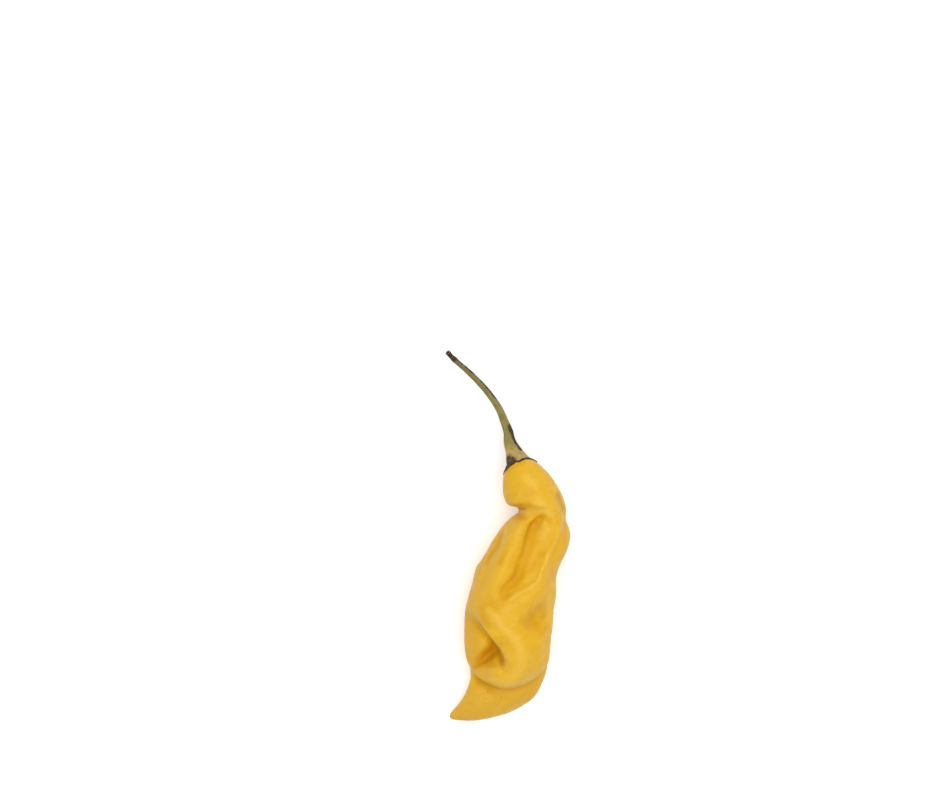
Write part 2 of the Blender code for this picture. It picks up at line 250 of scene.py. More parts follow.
# Hollows and crests are judged against the skin's own even form, after so many passes; the masks
# paint shade into hollows, troughs, the flanks and the tail, and a highlight on crests.
NEAR_FORM = 90
FAR_FORM = 180  # on top of the near form's
MASK_BLUR = 6  # passes that soften the masks themselves
HOLLOW = (0.0, 0.70)  # how far the skin lies below the near form, where the painted shade starts and is full
TROUGH = (-0.25, 0.60)  # the same for the broad painted shade, below the far form
CREST = (0.18, 0.50)  # how high it stands above the near form, where the painted highlight starts and is full
MARKABLE = (-0.4, 0.1)  # how far up the skin faces where it takes marks
FLANK_BLUR = 50  # passes that even out which way the skin faces
FLANK = (-0.75, 0.1)  # how far down the skin faces where it is painted with shade, duller and browner
TAIL_FROM = (40.0, 46.0)  # where, against Y, the tail is painted with that shade too
TAIL_BELOW = (-12.0, -9.0)  # and where against Z
TAIL_SHARE = 0.7  # and how much

# --- The calyx and the stalk ---

CALYX_CENTRE = np.array((3.4, 20.15, 9.8))
CALYX_AXIS = np.array((-0.337, 0.848, -0.41))
# Along the axis from the head's shoulder, and the radius there: from the throat to the rim.
CALYX_PROFILE = [
    (7.5, 1.62), (7.0, 1.86), (6.1, 1.98), (5.2, 2.15), (4.4, 2.36), (3.6, 2.6), (2.9, 2.86),
    (2.3, 3.1), (1.8, 3.4), (1.4, 3.75), (1.0, 4.2), (0.6, 4.6), (0.2, 4.95), (-0.15, 5.2),
]
CALYX_STEPS = 3
CALYX_SIDES = 96
# The height of the calyx's ribs as a share of the radius: broad ones at the throat, what is added to
# them at the rim, fine ones, and uneven growth.
CALYX_RIBS = (0.035, 0.02, 0.03, 0.055)
THROAT_FADE = (-7.2, -4.5)  # where, against the axis, the ribs start and where they are full
TOOTH_REACH = 0.9  # how far the rim's teeth stand out
TOOTH_DROP = 0.5  # and how far they run down the axis
RIM_THICKNESS = 0.34
RIM_GAP = 0.12  # between the rim's middle and the pod, beside half its thickness
LINING_GAP = 0.05  # between the pod and what is turned under the rim
LINING_ROWS = (4, 8, 14)  # the rows that the lining runs back along, counted from the rim
DRY_RIM = (0.75, 0.1)  # where along the axis it starts to dry dark, and where it is all dark

STALK_POINTS = [
    (1.55, 24.85, 7.52, 1.72), (0.88, 26.52, 6.72, 1.80), (0.64, 27.70, 6.38, 1.60),
    (0.35, 29.60, 6.30, 1.38), (-0.90, 33.00, 6.60, 1.15), (-2.35, 36.40, 7.20, 1.03),
    (-4.65, 39.75, 8.10, 0.95), (-7.45, 43.10, 9.30, 0.87), (-11.05, 46.65, 11.30, 0.78),
    (-13.55, 48.75, 12.85, 0.70), (-14.75, 49.82, 13.88, 0.76), (-15.62, 50.68, 14.75, 0.62),
    (-16.35, 51.50, 15.75, 0.68),
]
STALK_STEPS = 12
STALK_SIDES = 36
# The cut end, as how far past the line's end and the share of the radius there: a rounded edge, a
# flat ring, and a hollow pith.
STALK_CUT = [
    (0.10, 1.06), (0.26, 1.12), (0.40, 1.08), (0.46, 0.94), (0.42, 0.76), (0.20, 0.58), (-0.15, 0.40),
]
CORK_ROWS = (4, 3)  # the rings of the cut end that are pale, counted back from the end
# The height of the ribs as a share of the radius: everywhere, and what is added towards the calyx and
# towards the tip. Broad ribs come first, then fine ones, then uneven growth.
STALK_RIBS = [(0.03, 0.045, 0.05), (0.012, 0.0, 0.03), (0.05, 0.0, 0.07)]
NEAR_CALYX = (-12.0, -2.0)  # where, against how far along, the stalk comes near the calyx
NEAR_TIP = (14.0, 2.0)  # how far from its end it comes near the tip
JOINT_FADE = (1.5, 6.0)  # how far along the ribs grow to their full height, from a share of it
JOINT_SHARE = 0.3
CUT_SHARE = 0.4  # the share of the ribs' height on the cut end
TWIST = 0.05  # the turn of the ribs, in radians for each millimetre along

# Dark, dried places: each a path in plan, and how far it reaches.
STALK_MARKS = [
    ([(0.9, 31.4), (1.4, 29.8), (1.9, 28.3)], 1.0),
    ([(1.9, 28.3), (2.4, 27.0), (3.1, 26.0), (3.8, 24.9)], 0.8),
    ([(-3.2, 39.3), (-5.0, 41.6), (-7.2, 44.0)], 0.5),
    ([(-9.4, 46.1), (-11.5, 47.9)], 0.5),
    ([(-12.3, 48.8), (-13.9, 50.1)], 0.6),
]
CALYX_MARKS = [
    ([(-1.2, 17.4), (-0.3, 19.2), (0.5, 20.7), (0.7, 21.4)], 2.9),
    ([(0.4, 20.2), (2.4, 21.0)], 1.6),
    ([(5.4, 22.2), (6.8, 21.8), (8.0, 21.4)], 0.9),
    ([(0.8, 21.4), (1.5, 22.3)], 0.8),
    ([(1.9, 28.3), (2.4, 27.0), (3.1, 26.0), (3.8, 24.9)], 0.8),
]
DARK_TIP = (3.6, 2.4)  # how far from its end the stalk starts to dry dark, and where it is all dark
KHAKI_BAND = (38.0, 45.0)  # where along Y the stalk turns from green to khaki
TAN_BAND = (-28.2, -23.2)  # and where, against Y, it turns from green to the calyx's tan

FLOOR_SIDE = 6.0  # metres
LIGHT_PLACE = (0.05, 0.12, 0.8)  # metres
CAMERA_PLACE = (-10.4, 40.3, 375.6)


# --- What a user would change ---


def colour_property(name, description, default):
    return FloatVectorProperty(
        name=name, description=description, default=default, size=3, min=0.0, max=1.0, subtype="COLOR"
    )


class ChilliPodSettings(PropertyGroup):
    ripe: colour_property("Ripe", "The skin's main colour", (0.79, 0.448, 0.018))
    # The next five colours also paint light and shade: the first two darken the folds and broad hollows,
    # the third lights the crests, the fourth darkens the flanks and the tail, and the fifth darkens the
    # sharpest folds.
    deep_tone_and_shade: colour_property("Deep", "The skin's colour down in the folds", (0.63, 0.298, 0.002))
    trough_shade: colour_property("Trough", "The skin's colour in broad hollows", (0.75, 0.40, 0.003))
    pale: colour_property("Pale", "The skin's colour on crests", (0.85, 0.540, 0.070))
    dull_tone_and_shade: colour_property("Dull", "The skin's colour low on the flanks", (0.68, 0.390, 0.055))
    crease_shade: colour_property("Crease", "The skin's colour along the sharpest folds", (0.50, 0.225, 0.002))
    scar: colour_property("Scar", "The colour of browned places", (0.36, 0.165, 0.025))
    speck: colour_property("Speck", "The colour of the small specks", (0.30, 0.115, 0.004))
    fold_depth: FloatProperty(
        name="Fold depth", description="How strongly the folds are pressed in", default=1.0,
        min=0.0, max=1.5,
    )
    roughness: FloatProperty(
        name="Roughness", description="How matt the skin is", default=0.43, min=0.0, max=1.0,
        subtype="FACTOR",
    )


class ChilliStalkSettings(PropertyGroup):
    green: colour_property("Green", "The fresh stalk's colour", (0.285, 0.250, 0.077))
    khaki: colour_property("Khaki", "The drying stalk's colour", (0.245, 0.198, 0.078))
    tan: colour_property("Tan", "The calyx's dry, corky colour", (0.57, 0.385, 0.130))
    brown: colour_property("Brown", "The colour round dried places", (0.135, 0.085, 0.042))
    dark: colour_property("Dark", "The colour of dried places", (0.036, 0.021, 0.012))
    cork: colour_property("Cork", "The cut end's pale ring", (0.33, 0.27, 0.20))
    ridges: FloatProperty(
        name="Ridges", description="How strongly the stalk is ridged", default=1.0, min=0.0, max=2.0
    )


class ChilliStageSettings(PropertyGroup):
    floor: colour_property("Floor", "The floor's colour", (0.9, 0.9, 0.9))
    light_power: FloatProperty(
        name="Light", description="The soft light's power", default=6.0, min=0.0, unit="POWER"
    )
    light_size: FloatProperty(
        name="Light size", description="The soft light's side", default=0.9, min=0.01, unit="LENGTH"
    )
    surrounding: FloatProperty(
        name="Surrounding", description="Strength of the light from all round", default=0.45, min=0.0
    )
    backdrop: FloatProperty(
        name="Backdrop", description="How bright it looks beyond the floor", default=0.66, min=0.0
    )
    lens: FloatProperty(
        name="Lens", description="The camera's focal length in millimetres", default=50.0, min=10.0
    )


class ChilliSettings(PropertyGroup):
    pod: PointerProperty(type=ChilliPodSettings)
    stalk: PointerProperty(type=ChilliStalkSettings)
    stage: PointerProperty(type=ChilliStageSettings)


# --- Numbers and meshes ---


def smooth_curve(points, steps):
    """Points along a smooth curve through the given ones, with so many steps between each two."""
    points = np.array(points, float)
    padded = np.vstack([2 * points[0] - points[1], points, 2 * points[-1] - points[-2]])
    t = np.linspace(0, 1, steps, endpoint=False)[:, None]
    spans = [
        0.5 * (2 * b + (c - a) * t + (2 * a - 5 * b + 4 * c - d) * t**2 + (3 * b - a - 3 * c + d) * t**3)
        for a, b, c, d in zip(padded, padded[1:], padded[2:], padded[3:])
    ]
    return np.vstack([*spans, points[-1:]])


def eased(values, low, high):
    """Nought below the low end, one above the high end, and a soft step between."""
    t = np.clip((values - low) / (high - low), 0, 1)
    return t * t * (3 - 2 * t)


def unit(vectors):
    return vectors / np.maximum(np.linalg.norm(vectors, axis=-1, keepdims=True), 1e-6)


def places_of(mesh):
    places = np.empty(len(mesh.vertices) * 3, np.float32)
    mesh.vertices.foreach_get("co", places)
    return places.reshape(-1, 3).astype(float) / MM - ORIGIN


def move_to(mesh, places):
    mesh.vertices.foreach_set("co", ((places + ORIGIN) * MM).astype(np.float32).ravel())
    mesh.update()


def normals_of(mesh):
    normals = np.empty(len(mesh.vertices) * 3, np.float32)
    mesh.vertex_normals.foreach_get("vector", normals)
    return normals.reshape(-1, 3).astype(float)


def edges_of(mesh):
    edges = np.empty(len(mesh.edges) * 2, np.int32)
    mesh.edges.foreach_get("vertices", edges)
    return edges.reshape(-1, 2)


def relaxed(values, edges, passes):
    """Each vertex's values drawn halfway to its neighbours' mean, so many times."""
    count = len(values)
    degree = np.bincount(edges.ravel(), minlength=count)[:, None]
    near = np.concatenate([edges[:, 0], edges[:, 1]])
    far = np.concatenate([edges[:, 1], edges[:, 0]])
    for _ in range(passes):
        mean = np.stack([np.bincount(near, column[far], count) for column in values.T], 1) / degree
        values = values + 0.5 * (mean - values)
    return values


def store(mesh, name, values):
    """Keeps a number, or a vector, for each vertex where a material can read it."""
    kind, field = ("FLOAT", "value") if values.ndim == 1 else ("FLOAT_VECTOR", "vector")
    kept = mesh.attributes.new(name, kind, "POINT")
    kept.data.foreach_set(field, values.astype(np.float32).ravel())


def along_path(places, path):
    """For each place: its distance in plan from the path, the side it is on, and the path's depth there."""
    spots = places[:, :2]
    nearest = np.full(len(places), np.inf)
    side = np.zeros(len(places))
    depth = np.zeros(len(places))
    for start, end in zip(path, path[1:]):
        run = end[:2] - start[:2]
        share = np.clip((spots - start[:2]) @ run / max(run @ run, 1e-9), 0, 1)
        gap = spots - start[:2] - share[:, None] * run
        away = np.linalg.norm(gap, axis=1)
        closer = away < nearest
        nearest[closer] = away[closer]
        side[closer] = (run[0] * gap[:, 1] - run[1] * gap[:, 0])[closer]
        if len(start) > 2:
            depth[closer] = (start[2] + share * (end[2] - start[2]))[closer]
    return nearest, side, depth


def marked(places, marks):
    """How strongly each place is marked: one on a mark's path, and nought beyond its reach."""
    mask = np.zeros(len(places))
    for path, reach in marks:
        away = along_path(places, np.array(path, float))[0]
        mask = np.maximum(mask, eased(-away, -reach, -MARK_CORE * reach))
    return mask


def noise_at(places, size, offset):
    shift = Vector((offset, offset, offset))
    return np.array([noise.noise(Vector(place) / size + shift) for place in places])


def new_object(name, mesh, material):
    """Puts a piece of the pepper in the scene, under its own finish."""
    mesh.materials.clear()
    mesh.materials.append(material)
    mesh.shade_smooth()
    made = bpy.data.objects.new(name, mesh)
    bpy.context.collection.objects.link(made)
    return made


# --- Node wiring ---


def add(tree, kind, inputs=None, **settings):
    """A node with its settings. Each input is a value, or the output of another node."""
    made = tree.nodes.new(kind)
    for name, value in settings.items():
        setattr(made, name, value)
    for name, value in (inputs or {}).items():
        if isinstance(value, bpy.types.NodeSocket):
            tree.links.new(value, made.inputs[name])
        else:
            made.inputs[name].default_value = value
    return made


def blend(tree, mask, below, above):
    """The colour above laid over the colour below, as far as the mask says."""
    layers = [
        colour if isinstance(colour, bpy.types.NodeSocket) else (*colour, 1.0) for colour in (below, above)
    ]
    return add(tree, "ShaderNodeMix", {0: mask, 6: layers[0], 7: layers[1]}, data_type="RGBA").outputs[2]


def maths(tree, operation, first, second, clamp=False):
    inputs = {0: first, 1: second}
    return add(tree, "ShaderNodeMath", inputs, operation=operation, use_clamp=clamp).outputs[0]


def layer(tree, colour, mask, share, above):
    """A colour laid over another, as far as a share of the mask."""
    return blend(tree, maths(tree, "MULTIPLY", mask, share), colour, above)


def scaled(tree, value, share, base, clamp=False):
    """A share of a value, on top of a base."""
    return maths(tree, "ADD", maths(tree, "MULTIPLY", value, share), base, clamp)


def attribute(tree, name, output="Fac"):
    return add(tree, "ShaderNodeAttribute", attribute_name=name).outputs[output]


def group(name, inputs, output="Mask", kind="NodeSocketFloat"):
    """An empty node group: its tree, what it is given, and what it fills in. Each input has its
    default: a number, a colour, or nothing for a vector."""
    tree = bpy.data.node_groups.new(name, "ShaderNodeTree")
    for label, default in inputs.items():
        colour = "NodeSocketColor" if isinstance(default, tuple) else "NodeSocketFloat"
        socket_kind = "NodeSocketVector" if default is None else colour
        socket = tree.interface.new_socket(label, in_out="INPUT", socket_type=socket_kind)
        if default is not None:
            socket.default_value = default
    tree.interface.new_socket(output, in_out="OUTPUT", socket_type=kind)
    given = tree.nodes.new("NodeGroupInput").outputs
    return tree, given, tree.nodes.new("NodeGroupOutput").inputs[output]


def place_group(tree, name, inputs):
    return add(tree, "ShaderNodeGroup", inputs, node_tree=bpy.data.node_groups[name]).outputs[0]


def cut_between(tree, value, low, high):
    """A mask from a value: nought at the low level, one at the high level, and soft between."""
    inputs = {"Value": value, "From Min": low, "From Max": high}
    return add(tree, "ShaderNodeMapRange", inputs, interpolation_type="SMOOTHSTEP").outputs[0]


def make_mottling():
    """Soft patches of about a given size, in millimetres, cut off between two levels."""
    tree, given, result = group(
        "Mottling", {"Place": None, "Size": 3.0, "Shift": 0.0, "Low": 0.35, "High": 0.65}
    )
    scale = maths(tree, "DIVIDE", 1 / MM, given["Size"])
    patches = add(
        tree, "ShaderNodeTexNoise",
        {"Vector": given["Place"], "W": given["Shift"], "Scale": scale, "Detail": 3.0, "Roughness": 0.55},
        noise_dimensions="4D",
    )
    tree.links.new(cut_between(tree, patches.outputs[0], given["Low"], given["High"]), result)


def make_grain():
    """Streaks that run lengthwise: how long and how fine they are, cut off between two levels."""
    tree, given, result = group(
        "Lengthwise Grain", {"Grain": None, "Length": 6.0, "Fineness": 3.0, "Low": 0.35, "High": 0.65}
    )
    parts = add(tree, "ShaderNodeSeparateXYZ", {0: given["Grain"]}).outputs
    across = maths(tree, "MULTIPLY", parts[0], given["Fineness"])
    upward = maths(tree, "MULTIPLY", parts[1], given["Fineness"])
    lengthwise = maths(tree, "DIVIDE", parts[2], given["Length"])
    place = add(tree, "ShaderNodeCombineXYZ", {0: across, 1: upward, 2: lengthwise}).outputs[0]
    streaks = add(tree, "ShaderNodeTexNoise", {"Vector": place, "Scale": 1.0, "Detail": 3.0})
    tree.links.new(cut_between(tree, streaks.outputs[0], given["Low"], given["High"]), result)


def make_ragged():
    """A mask whose soft edge is broken up by a second mask, so that it ends in a ragged line."""
    tree, given, result = group(
        "Ragged Edge", {"Mask": 0.0, "Break-up": 0.5, "Raggedness": 0.6, "Softness": 0.15}
    )
    centred = maths(tree, "SUBTRACT", given["Break-up"], 0.5)
    shift = maths(tree, "MULTIPLY", centred, given["Raggedness"])
    shifted = maths(tree, "ADD", given["Mask"], shift)
    low = maths(tree, "SUBTRACT", 0.5, given["Softness"])
    high = maths(tree, "ADD", 0.5, given["Softness"])
    tree.links.new(cut_between(tree, shifted, low, high), result)


def make_dried():
    """Dried places over a colour: brown at their edges, and nearly black in their middles."""
    grey = (0.5, 0.5, 0.5, 1.0)
    tree, given, result = group(
        "Dried Places",
        {"Colour": grey, "Dark": 0.0, "Patches": 0.5, "Threads": 0.5, "Edge": grey, "Middle": grey},
        "Colour", "NodeSocketColor",
    )
    halo = ragged(tree, maths(tree, "ADD", given["Dark"], 0.16), given["Threads"], 0.5, 0.34)
    colour = layer(tree, given["Colour"], halo, 0.8, given["Edge"])
    middle = ragged(tree, given["Dark"], given["Patches"], 0.8, 0.38)
    tree.links.new(layer(tree, colour, middle, 0.85, given["Middle"]), result)


def make_speck():
    """A small round mark at one place, with a soft edge. It counts height for little, and so lands
    on the skin even where that is a little higher or lower than the place."""
    tree, given, result = group("Speck", {"Place": None, "Centre": None, "Radius": 0.0002})
    gap = add(tree, "ShaderNodeVectorMath", {0: given["Place"], 1: given["Centre"]}, operation="SUBTRACT")
    level = add(
        tree, "ShaderNodeVectorMath", {0: gap.outputs[0], 1: SPECK_AXES}, operation="MULTIPLY"
    )
    away = add(tree, "ShaderNodeVectorMath", {0: level.outputs[0]}, operation="LENGTH").outputs["Value"]
    inner = maths(tree, "MULTIPLY", given["Radius"], SPECK_CORE)
    tree.links.new(cut_between(tree, away, given["Radius"], inner), result)


def make_groups():
    for name, make in (
        ("Mottling", make_mottling),
        ("Lengthwise Grain", make_grain),
        ("Ragged Edge", make_ragged),
        ("Dried Places", make_dried),
        ("Speck", make_speck),
    ):
        if name not in bpy.data.node_groups:
            make()


def new_material(name):
    make_groups()
    material = bpy.data.materials.new(name)
    material.use_nodes = True
    tree = material.node_tree
    place = add(tree, "ShaderNodeTexCoord").outputs["Object"]
    return material, tree, tree.nodes["Principled BSDF"].inputs, place


def mottling(tree, place, size, shift, low=0.35, high=0.65):
    inputs = {"Place": place, "Size": size, "Shift": shift, "Low": low, "High": high}
    return place_group(tree, "Mottling", inputs)


def grain(tree, length, fineness, low=0.35, high=0.65):
    vector = attribute(tree, "grain", "Vector")
    inputs = {"Grain": vector, "Length": length, "Fineness": fineness, "Low": low, "High": high}
    return place_group(tree, "Lengthwise Grain", inputs)


def ragged(tree, mask, break_up, raggedness, softness):
    inputs = {"Mask": mask, "Break-up": break_up, "Raggedness": raggedness, "Softness": softness}
    return place_group(tree, "Ragged Edge", inputs)


def dress(tree, shader, colour, roughness, height, distance):
    """Feeds a finish to its shader. The distance that its relief stands out is in millimetres."""
    bump = add(tree, "ShaderNodeBump", {"Height": height, "Distance": distance * MM, "Strength": 1.0})
    tree.links.new(colour, shader["Base Color"])
    tree.links.new(roughness, shader["Roughness"])
    tree.links.new(bump.outputs[0], shader["Normal"])


def pod_finish(settings):
    """Ripe, waxy skin, with painted shade as a darker orange in the folds and browner low on the flanks,
    and a painted highlight on the crests.
    """
    material, tree, shader, place = new_material("pod_skin")
    broad = mottling(tree, place, 9.0, 1.0)
    medium = mottling(tree, place, 2.6, 2.0)
    fine = mottling(tree, place, 0.7, 3.0, 0.3, 0.7)
    freckles = mottling(tree, place, 1.1, 11.0, 0.56, 0.74)
    grit = mottling(tree, place, 0.33, 12.0, 0.3, 0.7)

    colour = layer(tree, settings.ripe, broad, 0.35, settings.pale)
    # Painted highlight: paler on the crests.
    colour = layer(tree, colour, attribute(tree, "crest"), 0.25, settings.pale)
    # Painted shade: a darker orange in broad troughs and down in the folds.
    colour = blend(tree, attribute(tree, "trough_shade"), colour, settings.trough_shade)
    colour = blend(tree, attribute(tree, "hollow_shade"), colour, settings.deep_tone_and_shade)
    # Painted shade in dimples and pockets, painted highlights on raised places, painted shade low on the
    # flanks and the tail, and painted shade along creases, each a little uneven.
    for mark, share, tint in (
        ("painted_shade", 0.44, settings.deep_tone_and_shade),
        ("pale", 0.80, settings.pale),
        ("dull_tone_and_shade", 0.50, settings.dull_tone_and_shade),
        ("crease_shade", 0.50, settings.crease_shade),
    ):
        uneven = scaled(tree, medium, 0.5 * share, 0.7 * share)
        colour = blend(tree, maths(tree, "MULTIPLY", attribute(tree, mark), uneven), colour, tint)
    # Painted shade: duller and browner where the skin faces down.
    low = maths(tree, "MULTIPLY", attribute(tree, "flank"), scaled(tree, medium, 0.24, 0.48), True)
    colour = blend(tree, low, colour, settings.dull_tone_and_shade)
    for mask, share, tint in (
        (medium, 0.14, settings.deep_tone_and_shade),
        (fine, 0.16, settings.dull_tone_and_shade),
        (freckles, 0.30, settings.deep_tone_and_shade),
        (grit, 0.20, settings.deep_tone_and_shade),
    ):
        colour = layer(tree, colour, mask, share, tint)
    browned = maths(tree, "MULTIPLY", attribute(tree, "scar"), scaled(tree, fine, 0.2, 0.25))
    colour = blend(tree, browned, colour, settings.scar)
    for spot, radius in SPECKS:
        centre = tuple((np.array(spot) + ORIGIN) * MM)
        speck = place_group(tree, "Speck", {"Place": place, "Centre": centre, "Radius": radius * MM})
        colour = layer(tree, colour, speck, 0.8, settings.speck)

    roughness = scaled(tree, medium, 0.14, settings.roughness - 0.07, True)
    pores = mottling(tree, place, 0.28, 4.0, 0.2, 0.8)
    ripples = mottling(tree, place, 1.5, 5.0, 0.2, 0.8)
    dress(tree, shader, colour, roughness, scaled(tree, pores, 0.3, ripples), 0.06)
    shader["Subsurface Weight"].default_value = 0.03
    shader["Subsurface Radius"].default_value = (1.0, 0.6, 0.1)
    shader["Subsurface Scale"].default_value = 0.001
    shader["Specular IOR Level"].default_value = 0.14
    return material


def turned_tan(tree, settings, colour, patches):
    """Lays the calyx's tan over a colour, with the same ragged edge on the calyx and the stalk."""
    return blend(tree, ragged(tree, attribute(tree, "tan"), patches, 0.25, 0.45), colour, settings.tan)


def dried(tree, settings, colour, patches, threads):
    inputs = {
        "Colour": colour, "Dark": attribute(tree, "dark"), "Patches": patches, "Threads": threads,
        "Edge": (*settings.brown, 1.0), "Middle": (*settings.dark, 1.0),
    }
    return place_group(tree, "Dried Places", inputs)


def stalk_finish(settings):
    """Green, ribbed stalk that dries to khaki and then to dark brown towards its cut end."""
    material, tree, shader, place = new_material("stalk_skin")
    ribs = grain(tree, 9.0, 3.2)
    threads = grain(tree, 3.0, 7.0, 0.3, 0.7)
    patches = mottling(tree, place, 1.4, 6.0)

    drying = ragged(tree, attribute(tree, "khaki"), ribs, 0.8, 0.3)
    colour = blend(tree, drying, settings.green, settings.khaki)
    colour = turned_tan(tree, settings, colour, patches)
    colour = layer(tree, colour, threads, 0.25, settings.khaki)
    colour = layer(tree, colour, patches, 0.08, settings.tan)
    colour = dried(tree, settings, colour, patches, threads)
    cut_ring = ragged(tree, attribute(tree, "cork"), patches, 0.4, 0.3)
    colour = blend(tree, cut_ring, colour, settings.cork)

    roughness = scaled(tree, threads, 0.2, 0.55)
    dress(tree, shader, colour, roughness, scaled(tree, threads, 0.5, ribs), 0.10)
    shader["Specular IOR Level"].default_value = 0.15
    return material


def calyx_finish(settings):
    """Dry, corky calyx: tan with green at its throat, and a nearly black rim."""
    material, tree, shader, place = new_material("calyx_skin")
    ribs = grain(tree, 5.0, 4.5)
    threads = grain(tree, 2.0, 9.0, 0.3, 0.7)
    patches = mottling(tree, place, 1.4, 6.0)
    crumbs = mottling(tree, place, 0.45, 8.0)
    specks = mottling(tree, place, 0.5, 14.0, 0.62, 0.74)
    flecks = mottling(tree, place, 0.9, 9.0, 0.62, 0.72)

    colour = turned_tan(tree, settings, settings.green, patches)
    colour = layer(tree, colour, threads, 0.20, settings.khaki)
    colour = layer(tree, colour, crumbs, 0.14, settings.brown)
    colour = layer(tree, colour, specks, 0.45, settings.brown)
    colour = dried(tree, settings, colour, patches, threads)
    colour = layer(tree, colour, flecks, 0.35, settings.tan)

    roughness = scaled(tree, patches, 0.2, 0.6)
    dress(tree, shader, colour, roughness, scaled(tree, crumbs, 0.6, ribs), 0.08)
    shader["Specular IOR Level"].default_value = 0.15
    return material


def floor_finish(settings):
    """A matt, even floor that glows a little, so that it stays pale round the shadow."""
    material, tree, shader, place = new_material("floor")
    paler = [min(1.0, part + 0.02) for part in settings.floor]
    colour = layer(tree, settings.floor, mottling(tree, place, 40.0, 10.0), 0.01, paler)
    tree.links.new(colour, shader["Base Color"])
    shader["Roughness"].default_value = 0.9
    shader["Specular IOR Level"].default_value = 0.1
    shader["Emission Color"].default_value = (1, 1, 1, 1)
    shader["Emission Strength"].default_value = 0.25
    return material


# --- Pod ---


def remeshed(node):
    """The CAD node's shape as one even mesh."""
    trial = bpy.data.objects.new(node + "_trial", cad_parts[node].data.copy())
    bpy.context.collection.objects.link(trial)
    even = trial.modifiers.new("even", "REMESH")
    even.mode = "VOXEL"
    even.voxel_size = VOXEL * MM
    graph = bpy.context.evaluated_depsgraph_get()
    mesh = bpy.data.meshes.new_from_object(trial.evaluated_get(graph))
    bpy.data.objects.remove(trial)
    mesh.name = node + "_skin"
    return mesh


def apply_stroke(mesh, fold, amount):
    places = places_of(mesh)
    normals = normals_of(mesh)
    away, side, depth = along_path(places, smooth_curve(fold.path, STROKE_STEPS))
    reach = np.where(side > 0, fold.reach[0], fold.reach[1])
    fade = (1 - np.clip(away / reach, 0, 1) ** fold.sharpness) ** 2
    if fold.side != ROUND:
        fade *= eased(normals[:, 2] * fold.side, *STROKE_FACING)
    fade *= eased(-places[:, 2], -fold.high - 1, -fold.high)
    if fold.push:
        way = np.array(fold.push, float)
    else:
        way = -unit(normals + [0, 0, fold.side])
    move_to(mesh, places + (amount * depth * fade)[:, None] * way)


def mask_pod(mesh, places, edges):
    """Stores where the skin is sunk, raised, low on a flank or marked, for its colours: painted shade where
    it is sunk or low, a painted highlight where it is raised.
    """
    normals = normals_of(mesh)
    near = relaxed(places, edges, NEAR_FORM)
    far = relaxed(near, edges, FAR_FORM)
    sunk = np.column_stack([np.sum((near - places) * normals, 1), np.sum((far - places) * normals, 1)])
    near_sunk, far_sunk = relaxed(sunk, edges, MASK_BLUR).T
    # Masks for painted shade in hollows and troughs, and for a painted highlight on crests.
    store(mesh, "hollow_shade", eased(near_sunk, *HOLLOW))
    store(mesh, "trough_shade", eased(far_sunk, *TROUGH))
    store(mesh, "crest", eased(-near_sunk, *CREST))
    # Painted shade low on the tail and where the skin faces down.
    tail = eased(-places[:, 1], *TAIL_FROM) * eased(-places[:, 2], *TAIL_BELOW)
    leaning = -unit(relaxed(normals, edges, FLANK_BLUR))[:, 2]
    store(mesh, "flank", np.maximum(eased(leaning, *FLANK), TAIL_SHARE * tail))
    above = eased(normals[:, 2], *MARKABLE)
    for name, marks in MARKS.items():
        store(mesh, name, marked(places, marks) * above)


def make_pod(settings):
    mesh = remeshed("pod")
    edges = edges_of(mesh)
    move_to(mesh, relaxed(places_of(mesh), edges, EVENING))
    for name, folds in FOLDS.items():
        for fold in folds:
            apply_stroke(mesh, fold, settings.fold_depth)
        if name in EVENED:
            passes, marks = EVENED[name]
            places = places_of(mesh)
            share = marked(places, marks) * eased(normals_of(mesh)[:, 2], *UPPER_HALF)
            move_to(mesh, places + share[:, None] * (relaxed(places, edges, passes) - places))
    for size, height, shift in SWELLS:
        places = places_of(mesh)
        move_to(mesh, places + height * noise_at(places, size, shift)[:, None] * normals_of(mesh))
    places = relaxed(places_of(mesh), edges, SETTLING)
    places[:, 2] = np.maximum(places[:, 2], 0.0)
    move_to(mesh, places)
    mask_pod(mesh, places, edges)
    pod = new_object("pod_body", mesh, pod_finish(settings))
    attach(pod, "root")
    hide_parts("pod")


# --- Calyx and stalk ---


def frames_along(line):
    """At each point of a line: two directions square to it, which turn with it as little as they can."""
    ways = unit(np.gradient(line, axis=0))
    side = unit(np.cross(ways[0], (0, 0, 1)))
    sides = []
    for way in ways:
        side = unit(side - (side @ way) * way)
        sides.append(side)
    sides = np.array(sides)
    return sides, unit(np.cross(sides, ways))


def mesh_of_rings(name, rings):
    """A mesh over rings of points, each joined to the next, with a fan over both ends."""
    mesh = bpy.data.meshes.new(name)
    shape = bmesh.new()
    loops = [[shape.verts.new((Vector(p) + Vector(ORIGIN)) * MM) for p in ring] for ring in rings]
    for near, far in zip(loops, loops[1:]):
        for i in range(len(near)):
            shape.faces.new((near[i - 1], near[i], far[i], far[i - 1]))
    for loop in (loops[0], loops[-1]):
        hub = shape.verts.new(sum((vertex.co for vertex in loop), Vector()) / len(loop))
        for i in range(len(loop)):
            shape.faces.new((loop[i - 1], loop[i], hub))
    bmesh.ops.recalc_face_normals(shape, faces=shape.faces)
    shape.to_mesh(mesh)
    shape.free()
    return mesh


def round_angles(sides):
    return np.linspace(0, 2 * math.pi, sides, endpoint=False)


def for_each_vertex(along, sides):
    """How far along each vertex is: the same for a whole ring, and then for the two ends' hubs."""
    return np.concatenate([np.repeat(along, sides), [along[0], along[-1]]])


